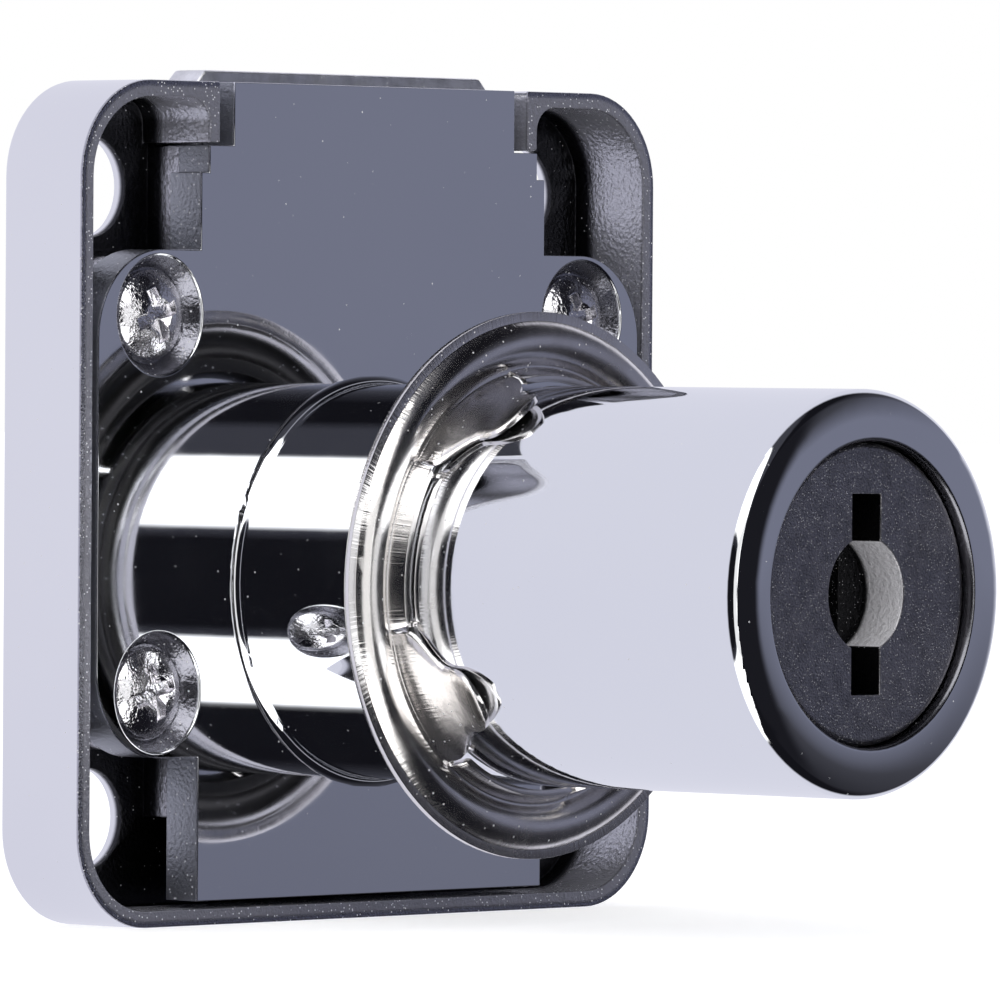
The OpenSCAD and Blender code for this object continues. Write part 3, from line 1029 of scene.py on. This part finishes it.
@dataclass
class LockCase(SubAssembly):
    """The rear case, the cylinder plate with its barrel, and the four screws.

    Attributes:
        back_rounding: The rounding of the case's back outline.
        back_steps: The faces across that rounding.
        rim_rounding: The rounding of the case's other edges.
        plate_rounding: The rounding of the cylinder plate's edges.
        screw_rounding: The rounding of the screws' edges.
        corner: The radius of the case's corners.
        skin_slack: How far off the round corners a point of the outline may be.
        flat_slack: How far off a flat a point of the outline may be.
        case_floor: The stretch of the case's floor, which has holes.
        plate_rings: The stretches of the barrel's front ring and its root fillet.
    """

    back_rounding: float = 0.4 * MM
    back_steps: int = 4
    rim_rounding: float = 0.1 * MM
    plate_rounding: float = 0.05 * MM
    screw_rounding: float = 0.04 * MM
    corner: float = 4.6 * MM
    skin_slack: float = 0.02 * MM
    flat_slack: float = 0.01 * MM
    case_floor: tuple[Span, ...] = ((-0.9 * MM, -0.7 * MM),)
    plate_rings: tuple[Span, ...] = ((-1.0, -36.9 * MM), (-5.8 * MM, -5.31 * MM))

    def build(self) -> None:
        """Builds and dresses the case's pieces."""
        self.dress(self.shell(), "case", "case_chrome", ["rear_case"])
        plate = self.softened(
            "cylinder_plate", "cylinder_plate_polished", self.plate_rounding, self.plate_rings
        )
        self.dress(plate, "case", "plate_chrome", ["cylinder_plate"])
        screws = self.softened("plate_screws", "plate_screws_domed", self.screw_rounding)
        self.dress(screws, "case", "screw_steel", ["plate_screws"])

    def shell(self) -> bpy.types.Object:
        """Builds the case, its back outline well rounded.

        Returns:
            The case's piece.
        """
        _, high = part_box("rear_case")
        piece = Bench.merged_copy(self.node("rear_case"), "rear_case_polished", self.case_floor)
        back = high.y - self.flat_slack

        def on_outline(a: Vector, b: Vector) -> bool:
            """Whether an edge lies on the back face's outline."""
            return min(a.y, b.y) > back and self.on_skin(a, high) and self.on_skin(b, high)

        count = Bench.select_edges(piece, on_outline)
        bpy.ops.mesh.bevel(
            offset=self.back_rounding, segments=self.back_steps, affect="EDGES"
        )
        bpy.ops.object.mode_set(mode="OBJECT")
        LOG.info("case back outline: %d edges", count)
        Bench.round_edges(piece, self.rim_rounding)
        Bench.shade(piece)
        return piece

    def on_skin(self, point: Vector, high: Vector) -> bool:
        """Whether a point is on the outer skin of the case's rounded box.

        Args:
            point: The point.
            high: The box's far corner.

        Returns:
            True for a point on the skin.
        """
        x = abs(point.x) - (high.x - self.corner)
        z = abs(point.z) - (high.z - self.corner)
        if x > 0 and z > 0:
            return abs(math.hypot(x, z) - self.corner) < self.skin_slack
        return max(x, z) > self.corner - self.flat_slack


@dataclass
class DeadBolt(SubAssembly):
    """The sliding bolt.

    Attributes:
        rounding: The rounding of its edges.
    """

    rounding: float = 0.15 * MM

    def build(self) -> None:
        """Builds and dresses the bolt."""
        bolt = self.softened("bolt", "bolt_softened", self.rounding)
        self.dress(bolt, "bolt", "bolt_zinc", ["bolt"])


@dataclass
class KeyPlug(SubAssembly):
    """The plug with its wafers and springs.

    Attributes:
        rounding: The rounding of the plug's edges.
        wafers: How many wafers it has.
        spring_foot: The height of the retaining spring's fixed end; not used.
        spring_pressed: The share of the spring's length that is left when pressed; not used.
    """

    rounding: float = 0.05 * MM
    wafers: int = 7
    spring_foot: float = -6.3 * MM
    spring_pressed: float = 0.79

    def build(self) -> None:
        """Builds the plug and its retaining spring, and paints what rides in it."""
        plug = self.softened("plug", "plug_blasted", self.rounding)
        self.dress(plug, "plug", "plug_zinc", ["plug"])
        for number in range(1, self.wafers + 1):
            self.paint_node(f"wafer_{number}", "wafer_brass")
            self.paint_node(f"wafer_spring_{number}", "spring_steel")
        self.paint_node("retaining_wafer", "wafer_brass")
        self.retaining_spring()

    def retaining_spring(self) -> None:
        """Builds the retaining wafer's spring."""
        spring = self.node("retaining_spring")
        spring = Bench.merged_copy(spring, "retaining_spring_wound", EVERYWHERE)
        Bench.shade(spring)
        self.dress(spring, "plug", "spring_steel", ["retaining_spring"])
        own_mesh(spring)


@dataclass
class Rosette(SubAssembly):
    """The sprung rosette on the barrel.

    Attributes:
        rounding: The rounding of its edges.
    """

    rounding: float = 0.02 * MM

    def build(self) -> None:
        """Builds and dresses the rosette."""
        rosette = self.softened("rosette", "rosette_pressed", self.rounding, EVERYWHERE)
        self.dress(rosette, "rosette", "rosette_nickel", ["rosette"])


@dataclass(frozen=True)
class Patch:
    """A stretch of the studio's front, by direction.

    Attributes:
        colour: Its light.
        near: The part to the right where it starts.
        far: The part to the right where it ends.
        height: The part up or down where it ends.
    """

    colour: Colour
    near: Span
    far: Span
    height: Span

    def over(
        self, front: bpy.types.NodeSocket, graph: Graph, x: Signal, z: Signal
    ) -> bpy.types.NodeSocket:
        """Lays the patch over the studio's front.

        Args:
            front: The colour before.
            graph: The world's graph.
            x: The direction's part to the right.
            z: The direction's part upwards.

        Returns:
            The colour's socket.
        """
        mask = x.step(*self.near) * x.step(*self.far) * z.size().step(*self.height)
        return graph.tone(mask, front, self.colour)


@dataclass
class Studio:
    """The camera, the light and the floor.

    Attributes:
        azimuth: The camera's turn to the right, in degrees.
        elevation: The camera's rise, in degrees.
        roll: The camera's roll, in degrees.
        distance: The camera's distance from its target.
        target: The point in the middle of the picture.
        focal_share: The focal length as a share of the picture's width.
        sensor: The sensor's width, in millimetres.
        clip: The nearest and farthest that the camera sees.
        gap: The dark gap to the right of the barrel.
        panel: The white panel to the left, for the screws and the rosette.
        around: The light of the rest of the studio, on mirrors.
        behind: The direction's part to the back where the front ends.
        ambient: The light on dull surfaces.
        floor_size: The floor's width.
        floor_gap: How far the floor is below the lock.
        paper: The floor's two tints.
        paper_grain: The size of the paper's blotches.
        glow: How much light the floor adds to the camera.
        lamp_place: Where the lamp is.
        lamp_size: The lamp's width.
        lamp_power: The lamp's power, in watts.
    """

    azimuth: float = -47.2501
    elevation: float = 0.8119
    roll: float = 0.3972
    distance: float = 537.164 * MM
    target: Vector = field(default_factory=lambda: Vector((8.933, -5.3, 0.0517)) * MM)
    focal_share: float = 11.0226936
    sensor: float = 36.0
    clip: Span = (0.01, 100.0)
    gap: Patch = Patch((0.012, 0.012, 0.016), (-0.02, 0.06), (0.6, 0.48), (0.55, 0.4))
    panel: Patch = Patch(WHITE, (-0.05, -0.1), (-0.58, -0.5), (0.4, 0.33))
    around: Colour = (0.76, 0.765, 0.87)
    behind: Span = (0.1, -0.15)
    ambient: Colour = (0.72, 0.72, 0.74)
    floor_size: float = 4.0
    floor_gap: float = 0.02 * MM
    paper: tuple[Colour, Colour] = ((0.80, 0.80, 0.80), (0.84, 0.84, 0.84))
    paper_grain: float = 1.5 * MM
    glow: float = 0.55
    lamp_place: Place = (-0.25, -0.2, 0.6)
    lamp_size: float = 0.5
    lamp_power: float = 0.35

    def build(self) -> None:
        """Builds the whole studio."""
        self.camera()
        self.backdrop()
        self.floor()
        self.lamp()

    def camera(self) -> None:
        """Makes the camera at the photograph's place."""
        turn, rise, roll = (math.radians(a) for a in (self.azimuth, self.elevation, self.roll))
        flat = math.cos(rise)
        back = Vector((math.sin(turn) * flat, -math.cos(turn) * flat, math.sin(rise)))
        right = Vector((math.cos(turn), math.sin(turn), 0.0))
        up = back.cross(right)
        side = right * math.cos(roll) + up * math.sin(roll)
        top = up * math.cos(roll) - right * math.sin(roll)
        data = bpy.data.cameras.new("camera")
        data.sensor_fit = "HORIZONTAL"
        data.sensor_width = self.sensor
        data.lens = self.focal_share * self.sensor
        data.clip_start, data.clip_end = self.clip
        camera = bpy.data.objects.new("camera", data)
        turned = Matrix((side, top, back)).transposed().to_4x4()
        camera.matrix_world = Matrix.Translation(self.target + back * self.distance) @ turned
        bpy.context.scene.collection.objects.link(camera)
        bpy.context.scene.camera = camera

    def backdrop(self) -> None:
        """Makes a backdrop that is white to the camera and a studio to the metal."""
        world = bpy.data.worlds.new("studio")
        bpy.context.scene.world = world
        world.use_nodes = True
        world.cycles.sampling_method = "NONE"
        graph = Graph(world.node_tree, Output.WORLD)
        x, y, z = graph.split(graph.node("ShaderNodeTexCoord").outputs["Generated"])
        front = self.ring_of_light(graph, z.turn_from(-x))
        front = self.gap.over(front, graph, x, z)
        front = self.panel.over(front, graph, x, z)
        glossy = graph.tone(y.step(*self.behind), self.around, front)
        path = graph.node("ShaderNodeLightPath").outputs
        seen = Signal(graph, path["Is Camera Ray"])
        seen = seen.most(Signal(graph, path["Is Transmission Ray"]))
        soft = graph.tone(Signal(graph, path["Is Glossy Ray"]), self.ambient, glossy)
        light = graph.tone(seen, soft, WHITE)
        shader = graph.node("ShaderNodeBackground", inputs={"Color": light, "Strength": 1.0})
        graph.end(shader)

    @staticmethod
    def ring_of_light(graph: Graph, turn: Signal) -> bpy.types.NodeSocket:
        """The studio in front of the lock, by the turn round the barrel's axis from the left.

        Args:
            graph: The world's graph.
            turn: The turn, in degrees, from -180 to 180; up is positive.

        Returns:
            The colour's socket.
        """
        side = (0.19, 0.20, 0.27)
        dark = (0.008, 0.008, 0.011)
        dim = (0.055, 0.056, 0.07)
        box = (2.3, 2.3, 2.3)
        ring = [
            (-180, side), (-160, dim), (-132, dark), (-79, dark), (-76, box), (-35, box),
            (-33, dim), (-27, dark), (24, dark), (30, dim), (33, box), (76, box), (79, dim),
            (100, dim), (108, dark), (130, dark), (148, dim), (165, side), (180, side),
        ]
        stops = [((angle + HALF_TURN) / (2 * HALF_TURN), colour) for angle, colour in ring]
        place = (turn + HALF_TURN) / (2 * HALF_TURN)
        return graph.node("ShaderNodeValToRGB", {"stops": stops}, {0: place}).outputs[0]

    def floor(self) -> None:
        """Makes a pale floor that is white to the camera and keeps the lock's shadow."""
        low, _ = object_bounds()
        place = (0.0, 0.0, low[2] - self.floor_gap)
        bpy.ops.object.select_all(action="DESELECT")
        bpy.ops.mesh.primitive_plane_add(size=self.floor_size, location=place)
        floor = bpy.context.active_object
        floor.name = "floor"
        floor.visible_glossy = False
        material, graph = new_material("floor_paper")
        tint = graph.tone(graph.noise(graph.place(), self.paper_grain), *self.paper)
        paper = graph.node("ShaderNodeBsdfDiffuse", inputs={"Color": tint})
        glow_inputs = {"Color": WHITE, "Strength": self.glow}
        glow = graph.node("ShaderNodeEmission", inputs=glow_inputs)
        shaders = {0: paper.outputs[0], 1: glow.outputs[0]}
        lit = graph.node("ShaderNodeAddShader", inputs=shaders)
        seen = graph.node("ShaderNodeLightPath").outputs["Is Camera Ray"]
        shaders = {0: seen, 1: paper.outputs[0], 2: lit.outputs[0]}
        graph.end(graph.node("ShaderNodeMixShader", inputs=shaders))
        floor.data.materials.append(material)
        floor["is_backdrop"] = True

    def lamp(self) -> None:
        """Makes one soft lamp above, for the shadow."""
        data = bpy.data.lights.new("soft_lamp", "AREA")
        data.energy = self.lamp_power
        data.size = self.lamp_size
        lamp = bpy.data.objects.new("soft_lamp", data)
        lamp.location = self.lamp_place
        lamp.rotation_euler = (-Vector(self.lamp_place)).to_track_quat("-Z", "Y").to_euler()
        lamp.visible_glossy = False
        bpy.context.scene.collection.objects.link(lamp)


def main() -> None:
    """Builds the dressed lock in its studio."""
    logging.basicConfig(level=logging.INFO, format="%(name)s %(message)s")
    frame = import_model()
    bpy.context.scene.view_settings.view_transform = "Standard"
    Studio().build()
    paint = Paint()
    for part in (LockCase, DeadBolt, KeyPlug, Rosette):
        part(frame, paint).build()


if __name__ == "__main__":
    main()
